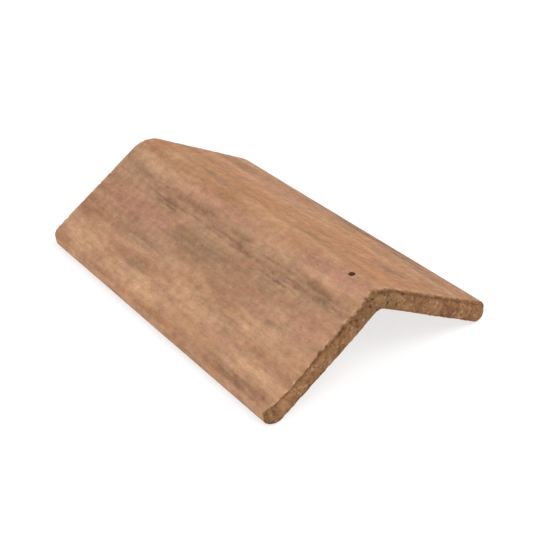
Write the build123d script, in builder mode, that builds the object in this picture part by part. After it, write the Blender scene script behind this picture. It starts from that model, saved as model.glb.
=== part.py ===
"""Angular clay ridge tile: two flat wings that meet in a rounded ridge, shaped and fired as one piece.

The tile lies on the feet of its two eaves, as it would on a level floor. The ridge runs along Y, the
wings fall away to both sides along X, and Z is up. The origin is on the floor under the tile's middle.
"""

from build123d import *
import os
from math import cos, radians, sin

# The whole tile, in millimetres and degrees. A wing is measured down its slope, from the line where the
# two slopes would meet to the line where the slope and the eave's side face would meet.
TILE_LENGTH = 450.0
WING_WIDTH = 162.0
WING_SLOPE = 30.0
WALL = 22.5

# The wall stays even round the bend of the ridge, so the outer radius follows from the inner one.
RIDGE_INNER_RADIUS = 12.5
RIDGE_OUTER_RADIUS = RIDGE_INNER_RADIUS + WALL

# The eaves: the side face leans in a little towards its foot, and both of its edges are rounded.
EAVE_LEAN = 3.0
EAVE_TOP_RADIUS = 5.0
EAVE_FOOT_RADIUS = 9.0

# The four corners, seen from above, are arcs that start at the end face and run out on the eave. The
# plan that cuts them is wider than the tile by the run-out on each side, so it leaves the eaves whole.
CORNER_RADIUS = 12.0
CORNER_RUN_OUT = 1.0

# The arris all round each end and its corners.
END_ARRIS_RADIUS = 2.5

# The nail hole, upright through the crest near the front end.
NAIL_HOLE_DIAMETER = 6.0
NAIL_HOLE_SETBACK = 45.0


def eave_corners(side):
    """Top and foot of an eave's side face before rounding, measured from the ridge line.

    side is 1 for the right wing and -1 for the left one.
    """
    slope = radians(WING_SLOPE)
    lean = radians(EAVE_LEAN)
    top_x = WING_WIDTH * cos(slope)
    top_y = -WING_WIDTH * sin(slope)
    face_height = WALL / cos(slope - lean)
    foot_x = top_x - face_height * sin(lean)
    foot_y = top_y - face_height * cos(lean)
    return (side * top_x, top_y), (side * foot_x, foot_y)


ridge_line = (0, 0)
soffit_line = (0, -WALL / cos(radians(WING_SLOPE)))
right_eave_top, right_eave_foot = eave_corners(1)
left_eave_top, left_eave_foot = eave_corners(-1)

# The section across the ridge, each corner with its own rounding.
with BuildSketch() as section:
    with BuildLine():
        FilletPolyline(
            ridge_line,
            right_eave_top,
            right_eave_foot,
            soffit_line,
            left_eave_foot,
            left_eave_top,
            radius=[
                RIDGE_OUTER_RADIUS,
                EAVE_TOP_RADIUS,
                EAVE_FOOT_RADIUS,
                RIDGE_INNER_RADIUS,
                EAVE_FOOT_RADIUS,
                EAVE_TOP_RADIUS,
            ],
            close=True,
        )
    make_face()

# The rounded feet of the eaves touch the floor, which sets how high the ridge stands.
section_box = section.sketch.bounding_box()
ridge_height = -section_box.min.Y
crest_height = ridge_height + section_box.max.Y
plan_width = section_box.size.X + 2 * CORNER_RUN_OUT

with BuildPart() as ridge_tile:
    with BuildSketch(Plane((0, 0, ridge_height), x_dir=(1, 0, 0), z_dir=(0, -1, 0))):
        add(section.sketch)
    extrude(amount=TILE_LENGTH / 2, both=True)

    # Round the corners in plan.
    with BuildSketch(Plane.XY):
        RectangleRounded(plan_width, TILE_LENGTH, CORNER_RADIUS)
    extrude(amount=2 * crest_height, both=True, mode=Mode.INTERSECT)

    # What is left sharp is the outline of each end. The other edges are smooth seams: along the tile
    # between its faces, and upright between an end face and its corners.
    end_outlines = ridge_tile.edges().filter_by(Axis.Y, reverse=True).filter_by(Axis.Z, reverse=True)
    fillet(end_outlines, radius=END_ARRIS_RADIUS)

    with Locations((0, NAIL_HOLE_SETBACK - TILE_LENGTH / 2, crest_height)):
        Hole(radius=NAIL_HOLE_DIAMETER / 2)

ridge_tile.part.label = "ridge_tile"

os.makedirs("parts", exist_ok=True)
export_step(ridge_tile.part, "parts/ridge_tile.step")

tile_size = ridge_tile.part.bounding_box().size
print(f"Overall size {tile_size.X:.2f} x {tile_size.Y:.2f} x {tile_size.Z:.2f} mm")
print(f"Volume {ridge_tile.part.volume / 1e6:.4f} litres")
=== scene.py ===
# %% [markdown]
# # A fired clay ridge tile
#
# This tile caps the top of a pitched roof. It is pressed from one flat blank of clay, bent over a
# mould, dried and fired, so it is one piece with no joints. The lesson follows the same order: load
# the measured part, roll out a flat blank of mesh, press it over the mould, punch the nail hole, rough
# up the surface, and then fire it with colour.
#
# The measured part gives the frame, and the new tile lies exactly where it lies.

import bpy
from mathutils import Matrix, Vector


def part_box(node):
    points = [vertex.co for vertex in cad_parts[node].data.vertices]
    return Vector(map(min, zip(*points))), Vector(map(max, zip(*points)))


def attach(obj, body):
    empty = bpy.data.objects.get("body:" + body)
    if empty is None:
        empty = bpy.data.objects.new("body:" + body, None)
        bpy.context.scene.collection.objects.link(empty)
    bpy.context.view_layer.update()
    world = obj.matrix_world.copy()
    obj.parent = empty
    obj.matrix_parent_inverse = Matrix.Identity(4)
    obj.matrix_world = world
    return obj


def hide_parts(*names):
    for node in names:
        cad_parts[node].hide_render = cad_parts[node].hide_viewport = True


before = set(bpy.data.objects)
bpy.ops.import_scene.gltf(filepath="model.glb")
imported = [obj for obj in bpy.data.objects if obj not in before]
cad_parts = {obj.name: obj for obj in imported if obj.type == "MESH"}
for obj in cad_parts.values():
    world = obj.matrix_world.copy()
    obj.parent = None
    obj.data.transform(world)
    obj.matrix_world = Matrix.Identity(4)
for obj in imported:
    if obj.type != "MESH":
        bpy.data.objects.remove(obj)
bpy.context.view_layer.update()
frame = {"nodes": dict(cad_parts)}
print("Nodes in the frame:", ", ".join(frame["nodes"]))

# %% [markdown]
# Clay workers think in millimetres, and Blender in metres. The shapes below are worked out in
# millimetres and scaled once, when the mesh is made. The length and the height of the crest are read
# from the measured tile, and the rest are the sizes of its section, its corners and its nail hole.

# %% Sizes of the tile
from math import asin, cos, pi, radians, sin, sqrt, tan

import bmesh
import bpy
import numpy as np
from mathutils import Matrix, Vector, noise

MM = 0.001
low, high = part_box("ridge_tile")
HALF_LENGTH = (high.y - low.y) / MM / 2
CREST_HEIGHT = high.z / MM

WING_WIDTH = 162.0
WING_SLOPE = radians(30)
WALL = 22.5
BEND_RADIUS = 35.0
EAVE_LEAN = radians(3)
EAVE_TOP_RADIUS = 5.0
EAVE_FOOT_RADIUS = 9.0
CORNER_RADIUS = 12.0
CORNER_RUN_OUT = 1.0
ARRIS_RADIUS = 2.5
HOLE_RADIUS = 3.0
HOLE_SETBACK = 45.0

print(f"Length {2 * HALF_LENGTH:.1f} mm, crest {CREST_HEIGHT:.1f} mm high")

# %% [markdown]
# ## The flat blank
#
# A bent tile could be cut from a block with booleans, or swept along a line. Both give a mesh that is
# hard to texture, because the clay's marks should run round the bend without a break. The real tile
# shows a simpler way: make a flat blank first, and keep each point's place in it. Such a place has three
# numbers: the girth across the blank from the crest, the distance along it, and the depth below its
# upper face. Every mark, stain and dent is later put at such a place.
#
# Bending shortens nothing on the upper face, so half the blank's width is the wing's width less what
# the rounded bend saves.

# %% Width of the blank and slant of its edges
HALF_BEND = BEND_RADIUS * WING_SLOPE
BLANK_HALF_WIDTH = WING_WIDTH - BEND_RADIUS * tan(WING_SLOPE) + HALF_BEND
EDGE_SLANT = WING_SLOPE - EAVE_LEAN

print(f"The blank is {2 * BLANK_HALF_WIDTH:.1f} mm wide, and its bend takes {2 * HALF_BEND:.1f} mm")

# %% [markdown]
# The blank's section is a long bar with four rounded corners. A corner is an arc that touches both of
# its sides, so the arc's centre lies on the line that halves the corner.

# %% Round one corner of a section
def rounded_corner(before, corner, after, radius, steps):
    """Points on the arc that rounds a corner, from the side before it to the side after it."""
    before, corner, after = (np.array(point, float) for point in (before, corner, after))
    towards_before = (before - corner) / np.linalg.norm(before - corner)
    towards_after = (after - corner) / np.linalg.norm(after - corner)
    middle = towards_before + towards_after
    half_angle = np.arccos(towards_before @ towards_after) / 2
    centre = corner + middle / np.linalg.norm(middle) * radius / np.sin(half_angle)
    first = corner + towards_before * radius / np.tan(half_angle) - centre
    last = corner + towards_after * radius / np.tan(half_angle) - centre
    start = np.arctan2(first[1], first[0])
    turn = np.arctan2(first[0] * last[1] - first[1] * last[0], first @ last)
    angles = start + turn * np.linspace(0, 1, steps + 1)
    return centre + radius * np.stack([np.cos(angles), np.sin(angles)], axis=1)


# %% [markdown]
# One ring of points goes round the section: along the upper face, round the right edge, back along the
# lower face, and up the left edge. Both faces get the same number of columns, so that the ends can be
# filled with a plain grid later. The lower face lies on the hollow side of the bend, so its columns are
# spaced by the shorter way round it.
#
# A ring has two settings. The inset draws it in on all sides, which rounds the arris of each end. The
# slide draws in only the two edges, which rounds the four corners as seen from above. The slide fades
# out towards the crest, so that the mesh stays even there.

# %% One ring round the blank
COLUMNS = 220
ARC_STEPS, EDGE_STEPS, FOOT_STEPS = 5, 4, 6
ROWS = ARC_STEPS + EDGE_STEPS + FOOT_STEPS
RING = 2 * (COLUMNS + ROWS)
SLIDE_REACH = 60.0
HOLLOW_BEND = (BEND_RADIUS - WALL) * WING_SLOPE


def edge_girth(depth, inset, slide):
    """Girth of the blank's slanting edge at a depth."""
    return BLANK_HALF_WIDTH - slide + depth * tan(EDGE_SLANT) - inset / cos(EDGE_SLANT)


def right_edge(inset, slide):
    """The right edge from the upper face to the lower one, as girth and depth."""
    top, foot = inset, WALL - inset
    top_corner = (edge_girth(top, inset, slide), top)
    foot_corner = (edge_girth(foot, inset, slide), foot)
    top_arc = rounded_corner((0, top), top_corner, foot_corner, EAVE_TOP_RADIUS - inset, ARC_STEPS)
    foot_arc = rounded_corner(top_corner, foot_corner, (0, foot), EAVE_FOOT_RADIUS - inset, FOOT_STEPS)
    share = np.linspace(0, 1, EDGE_STEPS + 1)[1:-1, None]
    straight = top_arc[-1] * (1 - share) + foot_arc[0] * share
    return np.concatenate([top_arc, straight, foot_arc])


def drawn_in(girth, half_width, slide):
    """Columns of a face, moved towards the crest near the edges by the slide."""
    share = np.clip((np.abs(girth) - half_width + SLIDE_REACH) / SLIDE_REACH, 0, 1)
    return girth - np.sign(girth) * slide * share * share * (3 - 2 * share)


def blank_ring(inset, slide):
    """All points of one ring, as girth and depth."""
    whole_edge = right_edge(inset, 0)
    edge = right_edge(inset, slide)
    upper_half, lower_half = whole_edge[0, 0], whole_edge[-1, 0]
    upper = drawn_in(np.linspace(-upper_half, upper_half, COLUMNS + 1), upper_half, slide)
    hollow_half = lower_half - HALF_BEND + HOLLOW_BEND
    hollow = np.linspace(hollow_half, -hollow_half, COLUMNS + 1)
    on_bend = np.clip(hollow, -HOLLOW_BEND, HOLLOW_BEND)
    lower = drawn_in(hollow - on_bend + on_bend * HALF_BEND / HOLLOW_BEND, lower_half, slide)
    left_edge = edge[::-1] * (-1, 1)
    return np.concatenate([
        np.stack([upper, np.full(COLUMNS + 1, inset)], axis=1),
        edge[1:],
        np.stack([lower, np.full(COLUMNS + 1, WALL - inset)], axis=1)[1:],
        left_edge[1:-1],
    ])


print(f"Each ring has {len(blank_ring(0, 0))} points, and {RING} are planned")

# %% [markdown]
# The rings stand at stations along the blank. They are close together on the rounded arris of each end,
# where the shape turns fast, and near the front end, where the nail hole and the chipped arris need
# small faces. Over the long plain middle they are further apart.

# %% Stations along the blank
ARRIS_STEPS = 4
CORNER_STATIONS = [3.5, 4.7, 6.0, 7.5, 9.0, 10.5, CORNER_RADIUS]
FINE_STEPS, COARSE_STEPS = 19, 126
FINE_PAST_HOLE = 13.0

arris_turns = np.linspace(0, pi / 2, ARRIS_STEPS + 1)
arris_stations = ARRIS_RADIUS * (1 - np.cos(arris_turns))
arris_insets = ARRIS_RADIUS * (1 - np.sin(arris_turns))
end_stations = np.concatenate([arris_stations, CORNER_STATIONS])

to_hole = np.linspace(CORNER_RADIUS, HOLE_SETBACK, FINE_STEPS + 1)[1:]
past_hole = np.arange(HOLE_SETBACK, HOLE_SETBACK + FINE_PAST_HOLE, to_hole[1] - to_hole[0])[1:]
middle = np.linspace(past_hole[-1], 2 * HALF_LENGTH - CORNER_RADIUS, COARSE_STEPS + 1)[1:-1]
stations = np.concatenate([end_stations, to_hole, past_hole, middle, 2 * HALF_LENGTH - end_stations[::-1]])
HOLE_STATION = len(end_stations) + FINE_STEPS - 1


def ring_settings(station):
    """Inset and slide of the ring that stands at a station."""
    to_end = min(station, 2 * HALF_LENGTH - station)
    inset = float(np.interp(to_end, arris_stations, arris_insets, right=0))
    drop = CORNER_RADIUS - min(to_end, CORNER_RADIUS)
    corner = CORNER_RADIUS - sqrt(CORNER_RADIUS**2 - drop**2)
    return inset, max(0, corner - CORNER_RUN_OUT)


print(f"{len(stations)} stations, the nail hole's is {stations[HOLE_STATION]:.1f} mm from the front end")

# %% [markdown]
# A ring is set up at each station, and every two neighbours are joined by four-sided faces.

# %% Skin of the blank
def joined(ring, next_ring):
    """Faces between two rings, each given by the numbers of its points."""
    return np.stack([ring, np.roll(ring, -1), np.roll(next_ring, -1), next_ring], axis=1).tolist()


places, faces = [], []
for station in stations:
    ring = blank_ring(*ring_settings(station))
    along = np.full(RING, station - HALF_LENGTH)
    places.append(np.stack([ring[:, 0], along, ring[:, 1]], axis=1))
for row in range(len(stations) - 1):
    ring = row * RING + np.arange(RING)
    faces += joined(ring, ring + RING)
print(f"The skin has {len(faces)} faces")

# %% [markdown]
# Each end is filled with a grid, whose border is the end ring itself. Its four sides are the numbers of
# their points in the ring. The grid could be stretched from top to foot or from left to right. Its inner
# points take the sum of both ways, less the corners that both counted, which is called a Coons patch.

# %% Ends of the blank
columns, rows = np.arange(COLUMNS + 1), np.arange(ROWS + 1)
top, foot = columns, 2 * COLUMNS + ROWS - columns
left, right = (RING - rows) % RING, COLUMNS + rows


def end_grid(ring, first_of_ring, first_new):
    """Inner points of one end, and the number of the point at each column and row of its grid."""
    across, down = columns[:, None, None] / COLUMNS, rows[None, :, None] / ROWS
    stretched_down = ring[top][:, None] * (1 - down) + ring[foot][:, None] * down
    stretched_across = ring[left] * (1 - across) + ring[right] * across
    top_mix = ring[top[0]] * (1 - across) + ring[top[-1]] * across
    foot_mix = ring[foot[0]] * (1 - across) + ring[foot[-1]] * across
    grid = stretched_down + stretched_across - (top_mix * (1 - down) + foot_mix * down)
    inner = grid[1:-1, 1:-1].reshape(-1, 3)

    numbers = np.zeros((COLUMNS + 1, ROWS + 1), int)
    numbers[:, 0], numbers[:, -1] = first_of_ring + top, first_of_ring + foot
    numbers[0], numbers[-1] = first_of_ring + left, first_of_ring + right
    numbers[1:-1, 1:-1] = first_new + np.arange(len(inner)).reshape(COLUMNS - 1, ROWS - 1)
    return inner, numbers


for end in (0, len(stations) - 1):
    made = sum(len(group) for group in places)
    inner, numbers = end_grid(places[end], end * RING, made)
    places.append(inner)
    corners = [numbers[:-1, :-1], numbers[1:, :-1], numbers[1:, 1:], numbers[:-1, 1:]]
    faces += np.stack(corners, axis=2).reshape(-1, 4).tolist()

blank = np.concatenate(places)
print(f"The blank has {len(blank)} points and {len(faces)} faces")

# %% [markdown]
# ## Press it over the mould
#
# The mould bends the middle of the blank round one line below the crest, and the wings lie straight on
# from where the bend stops. A point's depth is kept square to the surface, so the wall stays even.

# %% Press the blank
def pressed(place):
    """Where places in the flat blank lie after pressing, in millimetres."""
    girth, along, depth = place[:, 0], place[:, 1], place[:, 2]
    on_bend = np.clip(girth, -HALF_BEND, HALF_BEND)
    beyond = girth - on_bend
    angle = on_bend / BEND_RADIUS
    x = (BEND_RADIUS - depth) * np.sin(angle) + beyond * np.cos(angle)
    z = CREST_HEIGHT - BEND_RADIUS + (BEND_RADIUS - depth) * np.cos(angle) - beyond * np.sin(angle)
    return np.stack([x, along, z], axis=1)


shape = pressed(blank)
print("Pressed size in mm:", np.round(shape.max(axis=0) - shape.min(axis=0), 2))
print("Measured size in mm:", [round(side / MM, 2) for side in high - low])

# %% [markdown]
# ## The nail hole
#
# The hole is pushed through the crest while the clay is wet, near one end. A boolean would cut it, but it
# leaves a sharp rim and long thin faces. Here a small block of the grid round the hole is taken out of
# the upper and the lower face, and rings of points lead from the block's border in to the rim, so the
# rim can be worn and the wall left rough.

# %% Blocks of grid round the hole
BLOCK_COLUMNS, BLOCK_ROWS = 5, 4
HOLE_ALONG = HOLE_SETBACK - HALF_LENGTH
SQUARE = ((-1, -1), (1, -1), (1, 1), (-1, 1))


def block_border(middle_number, step):
    """Numbers of the points on the border of the block, in order round it."""
    corners = [(x * BLOCK_COLUMNS, y * BLOCK_ROWS) for x, y in SQUARE]
    border = []
    for (column, row), (next_column, next_row) in zip(corners, corners[1:] + corners[:1]):
        length = abs(next_column - column) + abs(next_row - row)
        for k in range(length):
            at_column = column + (next_column - column) * k // length
            at_row = row + (next_row - row) * k // length
            border.append(middle_number + step * at_column + RING * at_row)
    return border


upper_middle = HOLE_STATION * RING + COLUMNS // 2
lower_middle = upper_middle + COLUMNS + ROWS
upper_border = block_border(upper_middle, 1)
lower_border = block_border(lower_middle, -1)


def inside_block(middle_number, step):
    """Numbers of the points inside the block, without its border."""
    return {
        middle_number + step * column + RING * row
        for column in range(1 - BLOCK_COLUMNS, BLOCK_COLUMNS)
        for row in range(1 - BLOCK_ROWS, BLOCK_ROWS)
    }


removed = inside_block(upper_middle, 1) | inside_block(lower_middle, -1)
print(f"Each block has {len(upper_border)} points on its border")

# %% [markdown]
# The rings start at the block's border and shrink to the rim. The wall then goes straight down, and
# opens a little at both ends: above, where the nail and the weather have worn the rim, and below, where
# the punch broke out. Each new point also gets its place in the blank, found by bending it back.

# %% Rings, wall and both rims of the hole
UPPER_RINGS = [6.0, 5.0, 4.3, 3.8, 3.45]
LOWER_RINGS = [6.2, 5.4, 4.8, 4.3]
WALL_DEPTHS = [0.25, 0.7, 1.5, 4.0, 8.0, 12.0, 16.0, 19.0, 21.0, 22.1]
WALL_RADII = [3.22, 3.08, *[HOLE_RADIUS] * 5, 3.1, 3.4, 3.9]


def place_in_blank(x, along, depth):
    """Place in the flat blank of a point on the bend."""
    return BEND_RADIUS * asin(x / (BEND_RADIUS - depth)), along, depth


directions = shape[upper_border][:, :2] - (0, HOLE_ALONG)
directions /= np.linalg.norm(directions, axis=1)[:, None]


def hole_ring(radius, depth):
    """Places in the blank of one ring of the hole."""
    return [place_in_blank(radius * x, HOLE_ALONG + radius * y, depth) for x, y in directions]


hole_places = [hole_ring(radius, 0) for radius in UPPER_RINGS]
hole_places += [hole_ring(radius, depth) for radius, depth in zip(WALL_RADII, WALL_DEPTHS)]
hole_places += [hole_ring(radius, WALL) for radius in reversed(LOWER_RINGS)]

kept_faces = [face for face in faces if not removed.intersection(face)]
new_numbers = len(blank) + np.arange(len(hole_places) * len(upper_border))
hole_rings = [upper_border, *new_numbers.reshape(len(hole_places), -1), lower_border]
hole_faces = []
for ring, next_ring in zip(hole_rings, hole_rings[1:]):
    hole_faces += joined(ring, next_ring)

blank = np.concatenate([blank, *hole_places])
print(f"The hole adds {len(hole_faces)} faces and is {2 * HOLE_RADIUS:.0f} mm across")

# %% [markdown]
# ## Make the mesh
#
# The points and faces become one Blender mesh. The place in the blank goes with each point as an
# attribute, so the materials can read it. The points inside the hole's two blocks have no faces left and
# are deleted, so the places are read back for the points that stay.

# %% Build the tile's mesh
shape = pressed(blank)
mesh = bpy.data.meshes.new("clay_ridge_tile")
mesh.from_pydata((shape * MM).tolist(), [], kept_faces + hole_faces)
mesh.attributes.new("blank", "FLOAT_VECTOR", "POINT").data.foreach_set("vector", blank.ravel())

work = bmesh.new()
work.from_mesh(mesh)
loose = [point for point in work.verts if not point.link_faces]
bmesh.ops.delete(work, geom=loose, context="VERTS")
bmesh.ops.recalc_face_normals(work, faces=work.faces)
work.to_mesh(mesh)
work.free()
mesh.shade_smooth()

tile = bpy.data.objects.new("clay_ridge_tile", mesh)
bpy.context.scene.collection.objects.link(tile)

numbers_read = np.empty(3 * len(mesh.vertices))
mesh.attributes["blank"].data.foreach_get("vector", numbers_read)
blank = numbers_read.reshape(-1, 3)
triangles = sum(len(face.vertices) - 2 for face in mesh.polygons)
print(f"The tile has {len(mesh.vertices)} points and {triangles} triangles")

# %% [markdown]
# ## Marks of making and weather
#
# A hand-pressed tile is never quite even. The wings wave a little, the striker's drag leaves faint
# ridges along the length, torn grit leaves hollows in the cut ends, and handling chips the arrises.
# Blender could move the points with its Displace modifier, but then each kind of mark needs its own
# texture and mask. It is clearer to work out one depth for every point and push the points in along
# their normals. All depths go inwards, so the tile stays inside its measured size.
#
# Most marks come from smooth noise, and masks say where they lie. Each mask fades over the rounded
# arrises, between two depths or between two distances from the nearer end.

# %% Smooth noise over the blank
SEED_SHIFT = 17.3
FACE_FADE, ARRIS_FADE, END_FADE = (2.5, 0.5), (0.6, 2.5), (1.6, 0.4)

girth, along, depth = blank.T
from_front = along + HALF_LENGTH
to_end = HALF_LENGTH - np.abs(along)


def noise_over(across, lengthwise, seed):
    """Smooth noise from about -1 to 1 for every point. The two sizes are in millimetres."""
    points = np.stack([girth / across, along / lengthwise, depth / across], axis=1) + seed * SEED_SHIFT
    return np.array([noise.noise(point) for point in points])


def ramp(value, start, stop):
    """0 up to the start and 1 from the stop on, with a smooth rise between."""
    share = np.clip((value - start) / (stop - start), 0, 1)
    return share * share * (3 - 2 * share)


on_upper_face = ramp(depth, *FACE_FADE) * ramp(to_end, *ARRIS_FADE)
on_underside = ramp(depth, WALL - FACE_FADE[0], WALL - FACE_FADE[1]) * ramp(to_end, *ARRIS_FADE)
on_end = ramp(to_end, *END_FADE)
print(f"{int(on_end.sum())} points lie on the two ends")

# %% [markdown]
# Some marks and stains on this tile have a place of their own, and so has painted light: paler strips
# on the sides of both eaves. Each is a soft-edged oblong, given by its girth (to the left of the crest
# is negative), its distance from the front end, half its size each way, and a strength. All of them
# colour the clay later. Smoke and gouges are also pressed in, so a groove and the dirt in it always fall
# together.

# %% Marks and patches with a place of their own
PATCHES = {
    "smoke": [
        (-39, 70, 13, 110, 0.95), (-48, 105, 10, 70, 1.0), (-40, 225, 18, 260, 0.7),
        (-36, 150, 10, 90, 0.9), (-36, 260, 8.0, 80, 0.7), (-35, 380, 10, 80, 0.6), (-49, 330, 12, 75, 1.0),
        (-88, 95, 8.0, 90, 0.45), (-112, 120, 7.0, 70, 0.4), (-100, 300, 10, 80, 0.5),
        (-153, 60, 9.0, 110, 0.7), (-72, 230, 20, 110, 0.4), (146, 170, 18, 240, 0.9),
        (30, 150, 16, 70, 0.6), (20, 310, 14, 60, 0.8), (70, 65, 20, 45, 0.7), (100, 270, 22, 80, 0.5),
        (128, 70, 18, 60, 0.5), (62, 350, 18, 70, 0.4), (112, 400, 18, 50, 0.4), (60, 200, 20, 60, 0.5),
    ],
    "gouge": [
        (-58, 1.5, 5.0, 4.6, 1.0), (-50, 3.0, 4.4, 4.6, 1.0), (-30, 3.5, 5.5, 2.6, 0.8),
        (-15, 6.0, 3.0, 3.2, 0.8), (3, 4.5, 6.0, 2.6, 0.8), (17, 2.5, 5.0, 2.6, 0.9),
        (-86, 2.5, 4.0, 2.4, 0.6), (-113, 0.5, 6.0, 2.0, 0.5), (44, 1.5, 8.0, 1.8, 0.5),
        (-151, 65, 2.4, 3.2, 0.6), (-150, 18, 2.4, 3.2, 0.5),
    ],
    "ochre": [(62, 225, 100, 320, 0.5), (-140, 225, 16, 300, 0.15)],
    "olive": [
        (-68, 230, 24, 100, 0.6), (-60, 110, 16, 80, 0.45), (-38, 415, 24, 50, 0.3),
        (-96, 340, 14, 60, 0.25), (-128, 290, 7.0, 30, 0.4), (140, 120, 16, 90, 0.3),
    ],
    "rose": [
        (-76, 350, 24, 100, 0.75), (-8, 60, 20, 80, 0.75), (-20, 250, 12, 130, 0.6),
        (-70, 40, 22, 80, 0.5), (-128, 120, 8.0, 60, 0.5), (90, 60, 30, 70, 0.3), (112, 330, 30, 130, 0.45),
    ],
    "straw": [
        (-140, 275, 20, 110, 0.9), (-136, 60, 18, 110, 0.6), (-120, 170, 24, 130, 0.65),
        (-138, 400, 24, 90, 0.8), (-105, 70, 18, 100, 0.6), (-22, 330, 12, 150, 0.75),
        (-22, 60, 9.0, 110, 0.6), (88, 300, 36, 180, 0.6), (-154, 380, 8.0, 90, 0.6),
    ],
    "rust": [
        (-155, 60, 4.0, 90, 0.5), (-158, 95, 5.0, 25, 0.7), (-155, 200, 4.0, 70, 0.6),
        (-158, 275, 5.0, 28, 0.7), (-157, 340, 4.0, 90, 0.35), (-157, 425, 6.0, 16, 0.8),
        (14, 430, 26, 34, 0.75), (70, 330, 40, 130, 0.6), (55, 180, 50, 200, 0.45), (40, 35, 46, 60, 0.6),
    ],
    # Painted light: paler strips on the sides of both eaves.
    "eave_painted_light": [(-163, 60, 5.5, 110, 0.6), (-163, 300, 5.5, 330, 1.0), (163, 225, 5.5, 400, 0.8)],
}
print("Patches of each kind:", {kind: len(patches) for kind, patches in PATCHES.items()})

# %% [markdown]
# The patches are now painted on the points, each kind as one number from 0 to 1. Smoke and dirt lie only
# in the drag lines of a patch, and the clay between the lines is scraped pale. The lines are fine on the
# left wing and coarser on the right one. Gouges are ragged and stay near the upper face.

# %% Paint the patches on the points
SCRAPED, SMOKE_BETWEEN_LINES = 0.4, 0.35


def soft_oblong(patch):
    """How far each point lies inside one patch, from 0 outside it to the patch's strength."""
    middle_girth, middle_along, half_girth, half_along, strength = patch
    across = ramp(np.abs(girth - middle_girth) / half_girth, 1.0, 0.2)
    lengthwise = ramp(np.abs(from_front - middle_along) / half_along, 1.0, 0.1)
    return strength * across * lengthwise


def keep(name, values):
    """Stores one number for each point of the mesh, for the materials to read."""
    mesh.attributes.new(name, "FLOAT", "POINT").data.foreach_set("value", np.clip(values, 0, 1))


painted = {}
for kind, patches in PATCHES.items():
    painted[kind] = np.max([soft_oblong(patch) for patch in patches], axis=0)

fine_lines = noise_over(3.6, 60, 4) + 0.7 * noise_over(2.6, 14, 12)
coarse_lines = noise_over(11, 60, 13) + 0.6 * noise_over(5, 18, 14)
line_mix = ramp(girth, 0, 25)
drag_lines = ramp(fine_lines * (1 - line_mix) + coarse_lines * line_mix, -0.4, 0.4)
painted["scraped"] = painted["smoke"] * (1 - drag_lines) * SCRAPED
painted["smoke"] *= SMOKE_BETWEEN_LINES + (1 - SMOKE_BETWEEN_LINES) * drag_lines
painted["gouge"] *= ramp(depth, 7.0, 3.0) * ramp(noise_over(2.4, 2.4, 15), -0.7, -0.1)

for kind, strength in painted.items():
    keep(kind, strength)
    print(f"{kind}: up to {strength.max():.2f} strong")

# %% [markdown]
# The ends have small hollows, where the cutting wire tore grit out of the clay. Voronoi noise scatters
# one seed in each cell of a grid, and a random number for the cell decides whether its hollow is there
# and how wide it is.

# %% Scattered hollows
HOLLOW_SHIFT, CHANCE_SPREAD = 11.7, 7.1


def hollows(cell, share, narrow, wide, seed):
    """Depth from 0 to 1 of round hollows, one to a cell at most. Share is how many cells have one."""
    depths = np.zeros(len(blank))
    for k, point in enumerate(blank / cell + seed * HOLLOW_SHIFT):
        distances, seeds = noise.voronoi(point)
        chance = noise.cell(seeds[0] * CHANCE_SPREAD)
        if chance < share:
            radius = (narrow + (wide - narrow) * chance / share) / cell
            depths[k] = max(0, 1 - (distances[0] / radius) ** 2)
    return depths


end_pits = hollows(cell=5.0, share=0.55, narrow=1.0, wide=2.3, seed=2)
print(f"{int((end_pits * on_end > 0.3).sum())} points lie in pits on the ends")

# %% [markdown]
# The arrises of the ends chip first. The front one is broken back by a few millimetres over most of its
# length, furthest at the crest, where the tile is knocked when it is stacked on end. How far it is broken
# back at each girth is a short line of lengths, roughened by noise. The break starts with a small step
# and falls away to the arris. The back arris has only small chips. The rounded corners keep their shape,
# but their skin is rubbed off to the same line.

# %% Broken arrises
BREAK_AT = [-162, -145, -125, -105, -85, -60, -42, -25, -12, -3, 6, 20, 50, 90, 130, 162]
BREAK_REACH = [7.0, 2.2, 0.5, 1.2, 4.4, 4.2, 5.0, 3.6, 5.0, 10.0, 7.0, 5.0, 6.0, 5.5, 6.0, 8.0]
RAGGED, BACK_REACH = 1.8, 1.2
STEP, FALL = 0.6, 0.22
BREAK_STOPS, RUBBED_FROM, CORNER_FROM = 145, 155, 160

ragged = noise_over(4.5, 4.5, 5) + 0.6 * noise_over(1.8, 1.8, 6)
reach = np.where(along < 0, np.interp(girth, BREAK_AT, BREAK_REACH), BACK_REACH) + RAGGED * ragged
upper_part = ramp(depth, 7.0, 5.0)
within_reach = ramp(reach - to_end, -0.2, 0.7)
off_corners = ramp(np.abs(girth), CORNER_FROM, BREAK_STOPS)
broken = within_reach * upper_part
break_depth = broken * (STEP + FALL * np.clip(reach - to_end, 0, None)) * off_corners
rubbed_corner = within_reach * ramp(np.abs(girth), RUBBED_FROM, CORNER_FROM)

# The rim is the strip of the face just behind the break.
rim = ramp(to_end - reach, 4.0, 1.0) * (1 - broken) * upper_part * ramp(depth, 3.0, 1.0)
print(f"The front arris is broken back by up to {reach[upper_part > 0.5].max():.1f} mm")

# %% [markdown]
# The lower arris is worn too. Under the crest the end of the mould has rubbed it, so the arch looks
# wider there. All the depths are now added up.

# %% Depth of every mark
WAVE, DRAG, GROOVE, GOUGE = 0.5, 0.2, 0.6, 1.2
LOWER_WEAR, ARCH_WEAR, TORN, PIT, SAND = 0.7, 1.6, 0.9, 1.2, 0.2
ARCH_MIDDLE, ARCH_HALF_WIDTH, ARCH_FULL_WEAR = 15, 70, 25

waves = WAVE * (0.5 + 0.5 * noise_over(140, 190, 1))
drags = DRAG * (1 + noise_over(6, 110, 2)) + 0.5 * DRAG * (1 + noise_over(3, 40, 3))
grooves = GROOVE * painted["smoke"]

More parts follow.
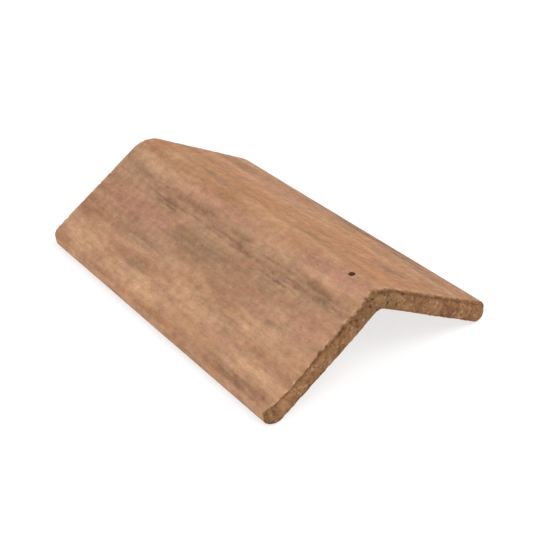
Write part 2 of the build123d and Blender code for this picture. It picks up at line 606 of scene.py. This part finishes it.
near_lower_arris = ramp(to_end, 5.0, 0.5) * ramp(WALL - depth, 5.0, 0.5)
under_arch = ramp(np.abs(girth - ARCH_MIDDLE), ARCH_HALF_WIDTH, ARCH_FULL_WEAR) * (along < 0)
lower_wear = near_lower_arris * (LOWER_WEAR * (0.6 + ragged) * off_corners + ARCH_WEAR * under_arch)
torn = 0.5 + 0.5 * noise_over(2.8, 2.8, 7) + 0.35 * noise_over(9, 9, 8)

sink = waves + break_depth + np.maximum(lower_wear, 0) + GOUGE * painted["gouge"]
sink += on_upper_face * (drags + grooves)
sink += on_underside * SAND * (1 + noise_over(3.2, 6, 9) + 0.5 * noise_over(1.6, 1.6, 10))
sink += on_end * (TORN * torn + PIT * end_pits)
sink += broken * TORN * np.abs(noise_over(2.2, 2.2, 11))
sink = np.maximum(sink, 0)

keep("broken", np.maximum(broken, rubbed_corner))
keep("rim", rim)
keep("pitted", end_pits * on_end)

normals = np.empty(3 * len(mesh.vertices))
mesh.vertex_normals.foreach_get("vector", normals)
moved = pressed(blank) - normals.reshape(-1, 3) * sink[:, None]
mesh.vertices.foreach_set("co", (moved * MM).ravel())
mesh.update()
print(f"Points sink {sink.mean():.2f} mm on average and {sink.max():.2f} mm at most")

# %% [markdown]
# The tile rides on the part's one body and stands for its one node.

# %% Tie the tile to the frame
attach(tile, "root")
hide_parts("ridge_tile")

# %% [markdown]
# ## Fired clay
#
# The colours are written as red, green and blue from 0 to 255, as a picture shows them. Shaders work in
# linear light, so each number is converted first.

# %% Colours of the clay
def fired(*shade):
    """A colour for a shader, from red, green and blue between 0 and 255."""
    linear = []
    for part in shade:
        part = part / 255
        linear.append(part / 12.92 if part <= 0.04045 else ((part + 0.055) / 1.055) ** 2.4)
    return (*linear, 1.0)


TAN, PALE_TAN, BROWN = fired(184, 139, 107), fired(203, 160, 126), fired(160, 116, 84)
STAINS_AND_PAINTED_LIGHT = {
    "ochre": fired(191, 134, 72),
    "straw": fired(218, 172, 134),
    "rose": fired(190, 139, 118),
    "olive": fired(155, 128, 98),
    "rust": fired(190, 128, 90),
    # Painted light: the paler colour of the eaves' sides.
    "eave_painted_light": fired(226, 173, 134),
    "scraped": fired(214, 174, 144),
    "smoke": fired(134, 103, 79),
}
PINK_TINT, YELLOW_TINT = fired(206, 144, 120), fired(200, 153, 110)
RAW_BROWN, RAW_DARK, RAW_PALE = fired(148, 106, 74), fired(88, 50, 24), fired(192, 150, 114)
RAW_UMBER, RAW_OCHRE, RAW_OLIVE = fired(126, 86, 56), fired(176, 130, 90), fired(126, 98, 62)
RIM_PALE = fired(214, 168, 130)
SAND_TAN, SAND_ORANGE = fired(176, 128, 94), fired(190, 124, 80)
GRIT_PALE, HOLE_DARK = fired(222, 190, 158), fired(92, 56, 30)
print(f"Tan clay in linear light: {[round(part, 3) for part in TAN[:3]]}")

# %% [markdown]
# The four materials share their effects, so each effect is a node group with named sockets. Small
# helpers keep the node code readable: one adds a node and feeds its inputs, others do a step of
# arithmetic or lay one colour over another, and the last two start a group and put it to use.

# %% Helpers for nodes and groups
def add(tree, kind, feeds=None, **settings):
    """Adds a node. Feeds gives its inputs a socket to read or a plain value."""
    node = tree.nodes.new(kind)
    for name, value in settings.items():
        setattr(node, name, value)
    for name, value in (feeds or {}).items():
        if isinstance(value, bpy.types.NodeSocket):
            tree.links.new(value, node.inputs[name])
        else:
            node.inputs[name].default_value = value
    return node


def calculate(tree, operation, first, second=0.0):
    """One step of arithmetic on numbers."""
    return add(tree, "ShaderNodeMath", {0: first, 1: second}, operation=operation).outputs[0]


def calculate_place(tree, operation, place, by):
    """One step of arithmetic on the three numbers of a place."""
    return add(tree, "ShaderNodeVectorMath", {0: place, 1: by}, operation=operation).outputs[0]


def rescale(tree, value, start, stop, new_start=0.0, new_stop=1.0, smooth=False):
    """Maps a range of values to another one and clamps what lies outside."""
    feeds = {"Value": value, "From Min": start, "From Max": stop, "To Min": new_start, "To Max": new_stop}
    kind = "SMOOTHSTEP" if smooth else "LINEAR"
    return add(tree, "ShaderNodeMapRange", feeds, interpolation_type=kind).outputs["Result"]


def blend(tree, mask, below, above, strength=None):
    """Lays one colour over another where the mask is 1, at full strength or at the strength given."""
    if strength is not None:
        mask = calculate(tree, "MULTIPLY", mask, strength)
    return add(tree, "ShaderNodeMix", {0: mask, 6: below, 7: above}, data_type="RGBA").outputs[2]


def scale_colour(tree, colour, factor):
    """A lighter or darker copy of a colour."""
    return add(tree, "ShaderNodeVectorMath", {0: colour, "Scale": factor}, operation="SCALE").outputs[0]


def vary(tree, colour, values, darkest, lightest):
    """A colour times the darkest factor where the values are 0 and the lightest one where they are 1."""
    return scale_colour(tree, colour, rescale(tree, values, 0.0, 1.0, darkest, lightest))


def start_group(name, outputs, **inputs):
    """A new effect that reads a place and named numbers. Returns its tree, inputs and outputs."""
    tree = bpy.data.node_groups.new(name, "ShaderNodeTree")
    tree.interface.new_socket("Place", in_out="INPUT", socket_type="NodeSocketVector")
    for label, value in inputs.items():
        tree.interface.new_socket(label, in_out="INPUT", socket_type="NodeSocketFloat").default_value = value
    for label in outputs:
        tree.interface.new_socket(label, in_out="OUTPUT", socket_type="NodeSocketFloat")
    return tree, add(tree, "NodeGroupInput").outputs, add(tree, "NodeGroupOutput").inputs


def effect(tree, group, **values):
    """Puts an effect into a material or another effect, with its own values."""
    return add(tree, "ShaderNodeGroup", values, node_tree=group).outputs


# %% [markdown]
# The first effect is the lengthwise grain. The clay was struck off and smoothed along the blank, which
# drew its colours out into long streaks. Noise does this once its coordinates are divided by a small
# width and a large length. The places are in millimetres, so the sizes are too.

# %% Effect: lengthwise streaks
streaks, socket, result = start_group("Lengthwise streaks", ["Streaks"], Width=5.0, Length=100.0, Seed=0.0)
stretch = add(streaks, "ShaderNodeCombineXYZ", {0: socket["Width"], 1: socket["Length"], 2: socket["Width"]})
stretched = calculate_place(streaks, "DIVIDE", socket["Place"], stretch.outputs[0])
shifted = calculate_place(streaks, "ADD", stretched, socket["Seed"])
streak_noise = add(streaks, "ShaderNodeTexNoise", {"Vector": shifted, "Scale": 1.0, "Detail": 3.0})
streaks.links.new(rescale(streaks, streak_noise.outputs["Fac"], 0.3, 0.7), result["Streaks"])
print("Effect made:", streaks.name)

# %% [markdown]
# The second effect scatters specks: pale grit, dark pinholes or larger pits, depending on the size.
# Each Voronoi cell has a random colour, and only the share of cells below a threshold show their speck.

# %% Effect: scattered specks
specks, socket, result = start_group(
    "Scattered specks", ["Specks"], Cell=4.0, Share=0.3, Width=0.3, Seed=0.0
)
cells = calculate_place(specks, "DIVIDE", socket["Place"], socket["Cell"])
shifted = calculate_place(specks, "ADD", cells, socket["Seed"])
voronoi = add(specks, "ShaderNodeTexVoronoi", {"Vector": shifted, "Scale": 1.0})
chance = add(specks, "ShaderNodeSeparateColor", {0: voronoi.outputs["Color"]})
chosen = calculate(specks, "LESS_THAN", chance.outputs[0], socket["Share"])
speck_width = calculate(specks, "MULTIPLY", socket["Width"], rescale(specks, chance.outputs[1], 0, 1, 0.4, 1))
inside = calculate(specks, "DIVIDE", voronoi.outputs["Distance"], speck_width)
speck = calculate(specks, "MULTIPLY", chosen, rescale(specks, inside, 1.0, 0.4, smooth=True))
specks.links.new(speck, result["Specks"])
print("Effect made:", specks.name)

# %% [markdown]
# The third effect is the clay body itself: a fine grain, and a mottle about eight times wider. The grain
# goes to both the colour and the bump, so the surface looks as rough as it is coloured.

# %% Effect: clay grain
grain, socket, result = start_group("Clay grain", ["Grain", "Mottle"], Size=1.0)
fine = calculate_place(grain, "DIVIDE", socket["Place"], socket["Size"])
fine_feeds = {"Vector": fine, "Scale": 1.0, "Detail": 4.0, "Roughness": 0.65}
fine_noise = add(grain, "ShaderNodeTexNoise", fine_feeds)
mottle_noise = add(grain, "ShaderNodeTexNoise", {"Vector": fine, "Scale": 0.12, "Detail": 3.0})
grain.links.new(rescale(grain, fine_noise.outputs["Fac"], 0.25, 0.75), result["Grain"])
grain.links.new(rescale(grain, mottle_noise.outputs["Fac"], 0.3, 0.7), result["Mottle"])
print("Effect made:", grain.name)

# %% [markdown]
# The fourth effect is torn clay, as it shows on the cut ends, in the broken arris and in the hole. It
# gives three masks: clouds a little deeper than they are wide, dark pits and pale grains. The pits and
# grains are the specks of the second effect, since a group may hold another group.

# %% Effect: torn clay
CLOUDS_PER_MM = (0.09, 0.09, 0.07)

torn_clay, socket, result = start_group("Torn clay", ["Clouds", "Pits", "Grains"], Size=1.0)
fine = calculate_place(torn_clay, "DIVIDE", socket["Place"], socket["Size"])
cloud_place = calculate_place(torn_clay, "MULTIPLY", fine, CLOUDS_PER_MM)
cloud_feeds = {"Vector": cloud_place, "Scale": 1.0, "Detail": 4.0, "Roughness": 0.7}
cloud_noise = add(torn_clay, "ShaderNodeTexNoise", cloud_feeds)
torn_clay.links.new(rescale(torn_clay, cloud_noise.outputs["Fac"], 0.37, 0.63), result["Clouds"])
big_pits = effect(torn_clay, specks, Place=fine, Cell=5.0, Share=0.65, Width=0.55, Seed=2.0)["Specks"]
small_pits = effect(torn_clay, specks, Place=fine, Cell=2.4, Share=0.35, Width=0.45, Seed=17.0)["Specks"]
torn_clay.links.new(calculate(torn_clay, "MAXIMUM", big_pits, small_pits), result["Pits"])
grains = effect(torn_clay, specks, Place=fine, Cell=4.0, Share=0.5, Width=0.5, Seed=6.0)["Specks"]
torn_clay.links.new(grains, result["Grains"])
print("Effect made:", torn_clay.name)

# %% [markdown]
# ## Four materials
#
# Dry clay hardly shines, so all four have the same weak gloss. They differ in their colour, roughness
# and bump.

# %% Helpers for the materials
DRY_GLOSS = 0.25


def read(tree, name, output="Fac"):
    """Reads one of the mesh's attributes."""
    return add(tree, "ShaderNodeAttribute", attribute_name=name).outputs[output]


def start_material(name):
    """A material for dry clay. Returns it, its tree and the socket with the place in the blank."""
    material = bpy.data.materials.new(name)
    material.use_nodes = True
    tree = material.node_tree
    tree.nodes["Principled BSDF"].inputs["Specular IOR Level"].default_value = DRY_GLOSS
    return material, tree, read(tree, "blank", "Vector")


def finish_material(tree, colour, roughness, height, depth_mm):
    """Feeds the shader. The height, about 0 to 1, becomes a bump of the depth given in millimetres."""
    relief = add(tree, "ShaderNodeBump", {"Height": height, "Distance": depth_mm * MM})
    feeds = {"Base Color": colour, "Roughness": roughness, "Normal": relief.outputs["Normal"]}
    for name, value in feeds.items():
        tree.links.new(value, tree.nodes["Principled BSDF"].inputs[name])


print(f"Gloss of dry clay: {DRY_GLOSS}")

# %% [markdown]
# ## The weathered upper face
#
# This face shows nearly all of the tile. Its patterns come first, from long streaks down to grit and
# pinholes. On the right wing the colour lies in rounder blotches, so there they take the place of most
# of the narrow streaks, and a finer mottle is added.

# %% Patterns of the weathered face
BLOTCHED_SHARE = 0.75

face_clay, tree, place = start_material("weathered_clay_face")
wide = effect(tree, streaks, Place=place, Width=15.0, Length=120.0, Seed=3.0)["Streaks"]
patchy = effect(tree, streaks, Place=place, Width=21.0, Length=50.0, Seed=33.0)["Streaks"]
narrow = effect(tree, streaks, Place=place, Width=5.5, Length=30.0, Seed=8.0)["Streaks"]
blotches = effect(tree, streaks, Place=place, Width=12.0, Length=11.0, Seed=41.0)["Streaks"]
mottled = effect(tree, streaks, Place=place, Width=8.0, Length=6.0, Seed=47.0)["Streaks"]
hair = effect(tree, streaks, Place=place, Width=2.2, Length=6.0, Seed=14.0)["Streaks"]
tint = effect(tree, streaks, Place=place, Width=10.0, Length=14.0, Seed=27.0)["Streaks"]
clay_grain = effect(tree, grain, Place=place, Size=1.2)
grit = effect(tree, specks, Place=place, Cell=5.0, Share=0.35, Width=0.2, Seed=5.0)["Specks"]
pinholes = effect(tree, specks, Place=place, Cell=4.4, Share=0.3, Width=0.22, Seed=9.0)["Specks"]

right_of_crest = add(tree, "ShaderNodeSeparateXYZ", {0: place}).outputs[0]
right_wing = rescale(tree, right_of_crest, 5.0, 30.0, 0.0, BLOTCHED_SHARE)
narrow = add(tree, "ShaderNodeMix", {0: right_wing, 2: narrow, 3: blotches}).outputs[0]
mottled = add(tree, "ShaderNodeMix", {0: right_wing, 2: 0.5, 3: mottled}).outputs[0]
print("Nodes for the patterns of the face:", len(tree.nodes))

# %% [markdown]
# From below upwards the colour is built like the real one: the tan clay with long pale and brown
# streaks, then the kiln's and the weather's stains and the painted light that makes the eaves' sides
# paler, then a pink and yellow tint, light and dark, fine grain, pale grit and dark pinholes. Each stain,
# and the painted light too, is broken up by streaks, so that its border runs out along the length like a
# smear.

# %% Colour of the weathered face
colour = blend(tree, rescale(tree, wide, 0.45, 1.0, 0.0, 0.9), TAN, PALE_TAN)
colour = blend(tree, rescale(tree, wide, 0.5, 0.0, 0.0, 0.7), colour, BROWN)
smeared = rescale(tree, narrow, 0.0, 1.0, 0.5, 1.2)
# These layers include the painted light that makes the eaves' sides paler.
for kind, stain_or_painted_light in STAINS_AND_PAINTED_LIGHT.items():
    amount = calculate(tree, "MULTIPLY", read(tree, kind), smeared)
    colour = blend(tree, calculate(tree, "MINIMUM", amount, 1.0), colour, stain_or_painted_light)
colour = blend(tree, rescale(tree, tint, 0.5, 1.0, 0.0, 0.4), colour, PINK_TINT)
colour = blend(tree, rescale(tree, tint, 0.5, 0.0, 0.0, 0.4), colour, YELLOW_TINT)

shades = [
    (patchy, 0.92, 1.11), (narrow, 0.91, 1.08), (mottled, 0.86, 1.14), (hair, 0.92, 1.07),
    (clay_grain["Grain"], 0.82, 1.18), (clay_grain["Mottle"], 0.88, 1.12),
]
for values, darkest, lightest in shades:
    colour = vary(tree, colour, values, darkest, lightest)

pale_rim = calculate(tree, "MULTIPLY", read(tree, "rim"), rescale(tree, narrow, 0.45, 0.8, 0.0, 0.9))
colour = blend(tree, pale_rim, colour, RIM_PALE)
colour = blend(tree, grit, colour, GRIT_PALE, 0.5)
colour = blend(tree, pinholes, colour, RAW_DARK, 0.5)
print("Stains on the face:", ", ".join(STAINS_AND_PAINTED_LIGHT))

# %% [markdown]
# Where the arris is broken or the corners are rubbed, the skin is gone and the torn clay shows. It is
# made a little darker than on the ends, and this darkening is painted shade. The gouges are darker still.

# %% Broken clay and bump of the weathered face
# Painted shade: the torn clay where the skin is gone is darkened by this factor.
BROKEN_PAINTED_SHADE = 0.8

torn = effect(tree, torn_clay, Place=place, Size=0.9)
broken_clay_and_shade = blend(tree, torn["Clouds"], RAW_UMBER, RAW_OCHRE)
broken_clay_and_shade = blend(tree, torn["Grains"], broken_clay_and_shade, RAW_PALE, 0.7)
broken_clay_and_shade = blend(tree, torn["Pits"], broken_clay_and_shade, RAW_DARK, 0.85)
# Painted shade: the broken clay is darkened here.
broken_clay_and_shade = scale_colour(tree, broken_clay_and_shade, BROKEN_PAINTED_SHADE)
colour = blend(tree, read(tree, "broken"), colour, broken_clay_and_shade)
colour = blend(tree, read(tree, "gouge"), colour, RAW_DARK)

height = calculate(tree, "ADD", clay_grain["Grain"], calculate(tree, "MULTIPLY", hair, 0.5))
height = calculate(tree, "SUBTRACT", height, pinholes)
roughness = rescale(tree, clay_grain["Grain"], 0.0, 1.0, 0.82, 0.95)
finish_material(tree, colour, roughness, height, 0.4)
print("Material made:", face_clay.name)

# %% [markdown]
# ## The raw ends
#
# The wire that cut the blank to length dragged grit across each end. The clay there is browner than the
# face, with pale grains, dark pits where grit was torn out, and a dirty band under the upper arris. The
# pits are darkest in that band and near the crest, where the clay is also greener.

# %% Raw ends
end_clay, tree, place = start_material("raw_clay_end")
clay_grain = effect(tree, grain, Place=place, Size=1.1)
torn = effect(tree, torn_clay, Place=place, Size=1.3)
parts = add(tree, "ShaderNodeSeparateXYZ", {0: place})
under_arris = rescale(tree, parts.outputs[2], 7.0, 1.0, smooth=True)
from_crest = calculate(tree, "ABSOLUTE", parts.outputs[0])
near_crest = rescale(tree, from_crest, 55.0, 15.0, smooth=True)

colour = blend(tree, torn["Clouds"], RAW_UMBER, RAW_OCHRE)
colour = blend(tree, near_crest, colour, RAW_OLIVE, 0.5)
colour = blend(tree, under_arris, colour, RAW_UMBER, 0.3)
colour = vary(tree, colour, clay_grain["Mottle"], 0.9, 1.12)
colour = vary(tree, colour, clay_grain["Grain"], 0.78, 1.24)
colour = blend(tree, torn["Grains"], colour, RAW_PALE, 0.7)
pit_strength = rescale(tree, calculate(tree, "MAXIMUM", near_crest, under_arris), 0.0, 1.0, 0.35, 0.95)
colour = blend(tree, torn["Pits"], colour, RAW_DARK, pit_strength)
pitted = calculate(tree, "MAXIMUM", read(tree, "pitted"), read(tree, "gouge"))
colour = blend(tree, pitted, colour, RAW_DARK, 0.8)

height = calculate(tree, "SUBTRACT", clay_grain["Grain"], torn["Pits"])
roughness = rescale(tree, clay_grain["Grain"], 0.0, 1.0, 0.88, 0.98)
finish_material(tree, colour, roughness, height, 0.5)
print("Material made:", end_clay.name)

# %% [markdown]
# ## The sanded underside
#
# The mould is dusted with sand so that the clay lets go of it. The sand stays on the underside and
# fires to a rough, more orange coat, with plain clay showing where it rubbed off.

# %% Sanded underside
under_clay, tree, place = start_material("sanded_clay_underside")
clay_grain = effect(tree, grain, Place=place, Size=1.2)
sand = effect(tree, specks, Place=place, Cell=1.1, Share=0.75, Width=0.45, Seed=4.0)["Specks"]
drift = effect(tree, streaks, Place=place, Width=26.0, Length=90.0, Seed=21.0)["Streaks"]

colour = blend(tree, drift, SAND_TAN, SAND_ORANGE)
colour = vary(tree, colour, clay_grain["Grain"], 0.85, 1.12)
colour = blend(tree, sand, colour, GRIT_PALE, 0.3)
height = calculate(tree, "ADD", clay_grain["Grain"], sand)
finish_material(tree, colour, rescale(tree, sand, 0.0, 1.0, 0.95, 0.86), height, 0.4)
print("Material made:", under_clay.name)

# %% [markdown]
# ## The hole's wall
#
# The punched wall is raw clay that is made darker with depth: a little dark at the face, darker down
# to 9 mm below it, and fully dark from there on.

# %% Hole wall
hole_clay, tree, place = start_material("nail_hole_wall")
clay_grain = effect(tree, grain, Place=place, Size=0.8)
torn = effect(tree, torn_clay, Place=place, Size=0.6)
parts = add(tree, "ShaderNodeSeparateXYZ", {0: place})
darkening_with_depth = rescale(tree, parts.outputs[2], 0.2, 9.0, 0.25, 1.0)

# The wall is made darker the deeper it goes, down to 9 mm below the face.
colour = blend(tree, darkening_with_depth, blend(tree, torn["Clouds"], RAW_UMBER, RAW_BROWN), HOLE_DARK)
colour = blend(tree, torn["Pits"], colour, HOLE_DARK, 0.6)
colour = vary(tree, colour, clay_grain["Grain"], 0.75, 1.2)
roughness = rescale(tree, clay_grain["Grain"], 0.0, 1.0, 0.88, 0.98)
finish_material(tree, colour, roughness, clay_grain["Grain"], 0.3)
print("Material made:", hole_clay.name)

# %% [markdown]
# Each face of the mesh takes the material of the side it lies on, found from its middle's place in the
# blank. The ends' clay comes a little way round the arris, and the sand a little way up the edges.

# %% Share out the materials
FACE_CLAY, END_CLAY, UNDER_CLAY, HOLE_CLAY = range(4)
HOLE_MARGIN, SKIN, SAND_DEPTH = 0.6, 0.05, 1.0
END_SHARE_OF_ARRIS = 0.3

for material in (face_clay, end_clay, under_clay, hole_clay):
    mesh.materials.append(material)

counts = [0, 0, 0, 0]
for face in mesh.polygons:
    corner_places = blank[list(face.vertices)]
    _, face_along, face_depth = corner_places.mean(axis=0)
    x, _, _ = pressed(corner_places).mean(axis=0)
    near_hole = np.hypot(x, face_along - HOLE_ALONG) < HOLE_RADIUS + HOLE_MARGIN
    if near_hole and SKIN < face_depth < WALL - SKIN:
        face.material_index = HOLE_CLAY
    elif HALF_LENGTH - abs(face_along) < ARRIS_RADIUS * END_SHARE_OF_ARRIS:
        face.material_index = END_CLAY
    elif face_depth > WALL - SAND_DEPTH:
        face.material_index = UNDER_CLAY
    else:
        face.material_index = FACE_CLAY
    counts[face.material_index] += 1
print("Faces with each material:", counts)

# %% [markdown]
# ## Floor, light and camera
#
# The tile lies on a plain pale floor that runs out of sight. For the camera most of the floor's
# brightness is its own, so that it shows as white paper and still keeps a soft shadow of the tile. The
# Light Path node tells which rays see it: straight from the camera, or by way of a shiny or clear thing.

# %% Floor and white surroundings
FLOOR_HALF_SIZE = 12.0
PAPER_GLOW, PAPER_SHADE = 0.74, 0.36
PAPER_WHITE = 0.86


def seen_as_white(tree):
    """1 for the rays that should see plain white paper, and 0 for the rays that carry its light."""
    ray = add(tree, "ShaderNodeLightPath").outputs
    camera_or_gloss = calculate(tree, "MAXIMUM", ray["Is Camera Ray"], ray["Is Glossy Ray"])
    return calculate(tree, "MAXIMUM", camera_or_gloss, ray["Is Transmission Ray"])


floor_mesh = bpy.data.meshes.new("floor")
floor_corners = [(x * FLOOR_HALF_SIZE, y * FLOOR_HALF_SIZE, 0) for x, y in SQUARE]
floor_mesh.from_pydata(floor_corners, [], [(0, 1, 2, 3)])
floor = bpy.data.objects.new("floor", floor_mesh)
bpy.context.scene.collection.objects.link(floor)

paper = bpy.data.materials.new("white_paper_floor")
paper.use_nodes = True
tree = paper.node_tree
tree.nodes.remove(tree.nodes["Principled BSDF"])
as_white = seen_as_white(tree)
matt = add(tree, "ShaderNodeBsdfDiffuse", {"Color": rescale(tree, as_white, 0, 1, PAPER_WHITE, PAPER_SHADE)})
glow = calculate(tree, "MULTIPLY", as_white, PAPER_GLOW)
own_light = add(tree, "ShaderNodeEmission", {"Color": (1, 1, 1, 1), "Strength": glow})
both = add(tree, "ShaderNodeAddShader", {0: matt.outputs[0], 1: own_light.outputs[0]})

# From below, the camera looks through the paper at the tile's underside.
backfacing = add(tree, "ShaderNodeNewGeometry").outputs["Backfacing"]
camera_ray = add(tree, "ShaderNodeLightPath").outputs["Is Camera Ray"]
from_below = calculate(tree, "MULTIPLY", backfacing, camera_ray)
clear = add(tree, "ShaderNodeBsdfTransparent")
shown = add(tree, "ShaderNodeMixShader", {0: from_below, 1: both.outputs[0], 2: clear.outputs[0]})
tree.links.new(shown.outputs[0], tree.nodes["Material Output"].inputs["Surface"])
floor_mesh.materials.append(paper)
print(f"The floor is {2 * FLOOR_HALF_SIZE:.0f} m wide")

# %% [markdown]
# The sky is an even, weak white that fills the shadows. Straight to the camera it shows as plain white.

# %% Sky
SKY_STRENGTH = 0.62

world = bpy.data.worlds.new("soft_sky")
world.use_nodes = True
bpy.context.scene.world = world
tree = world.node_tree
sky = tree.nodes["Background"]
sky.inputs["Color"].default_value = (1, 1, 1, 1)
tree.links.new(rescale(tree, seen_as_white(tree), 0, 1, SKY_STRENGTH, 1.0), sky.inputs["Strength"])
print(f"Sky at {SKY_STRENGTH}")

# %% [markdown]
# One large lamp hangs high over the front of the tile and lights both wings nearly alike, as a bright
# grey sky does. Its power is set so that sky and lamp together show the clay about as written.

# %% Lamp
LAMP_PLACE = Vector((0.25, -1.5, 2.6))
LAMP_SIZE = 1.6
LAMP_POWER = 42.0

lamp_data = bpy.data.lights.new("large_soft_lamp", "AREA")
lamp_data.shape = "SQUARE"
lamp_data.size = LAMP_SIZE
lamp_data.energy = LAMP_POWER
lamp = bpy.data.objects.new("large_soft_lamp", lamp_data)
lamp.location = LAMP_PLACE
lamp.rotation_mode = "QUATERNION"
lamp.rotation_quaternion = (-LAMP_PLACE).to_track_quat("-Z", "Y")
bpy.context.scene.collection.objects.link(lamp)
print(f"Lamp of {LAMP_POWER} W, {LAMP_PLACE.length:.1f} m away")

# %% [markdown]
# The camera looks down on the tile from its front left. Its angles, distance and focal length come from
# fitting the tile's outline to the picture, which is square and 540 pixels wide.

# %% Camera
PICTURE_WIDTH = 540
SENSOR_WIDTH = 36.0
FOCAL_PIXELS = 1217.9
AZIMUTH, ELEVATION, ROLL = radians(-32.36), radians(32.15), radians(-4.95)
DISTANCE = 1.3682
AIM_RIGHT, AIM_UP = 0.01623, 0.01102

back = Vector((sin(AZIMUTH) * cos(ELEVATION), -cos(AZIMUTH) * cos(ELEVATION), sin(ELEVATION)))
level_right = Vector((cos(AZIMUTH), sin(AZIMUTH), 0))
level_up = back.cross(level_right)
right = level_right * cos(ROLL) + level_up * sin(ROLL)
up = level_up * cos(ROLL) - level_right * sin(ROLL)

camera_data = bpy.data.cameras.new("camera")
camera_data.sensor_width = SENSOR_WIDTH
camera_data.lens = SENSOR_WIDTH * FOCAL_PIXELS / PICTURE_WIDTH
camera_data.clip_end = 100
camera = bpy.data.objects.new("camera", camera_data)
turn = Matrix((right, up, back)).transposed().to_4x4()
camera.matrix_world = Matrix.Translation(back * DISTANCE + right * AIM_RIGHT + up * AIM_UP) @ turn
bpy.context.scene.collection.objects.link(camera)
bpy.context.scene.camera = camera
bpy.context.scene.view_settings.view_transform = "Standard"
print(f"Lens {camera_data.lens:.1f} mm, {DISTANCE:.2f} m from the tile")
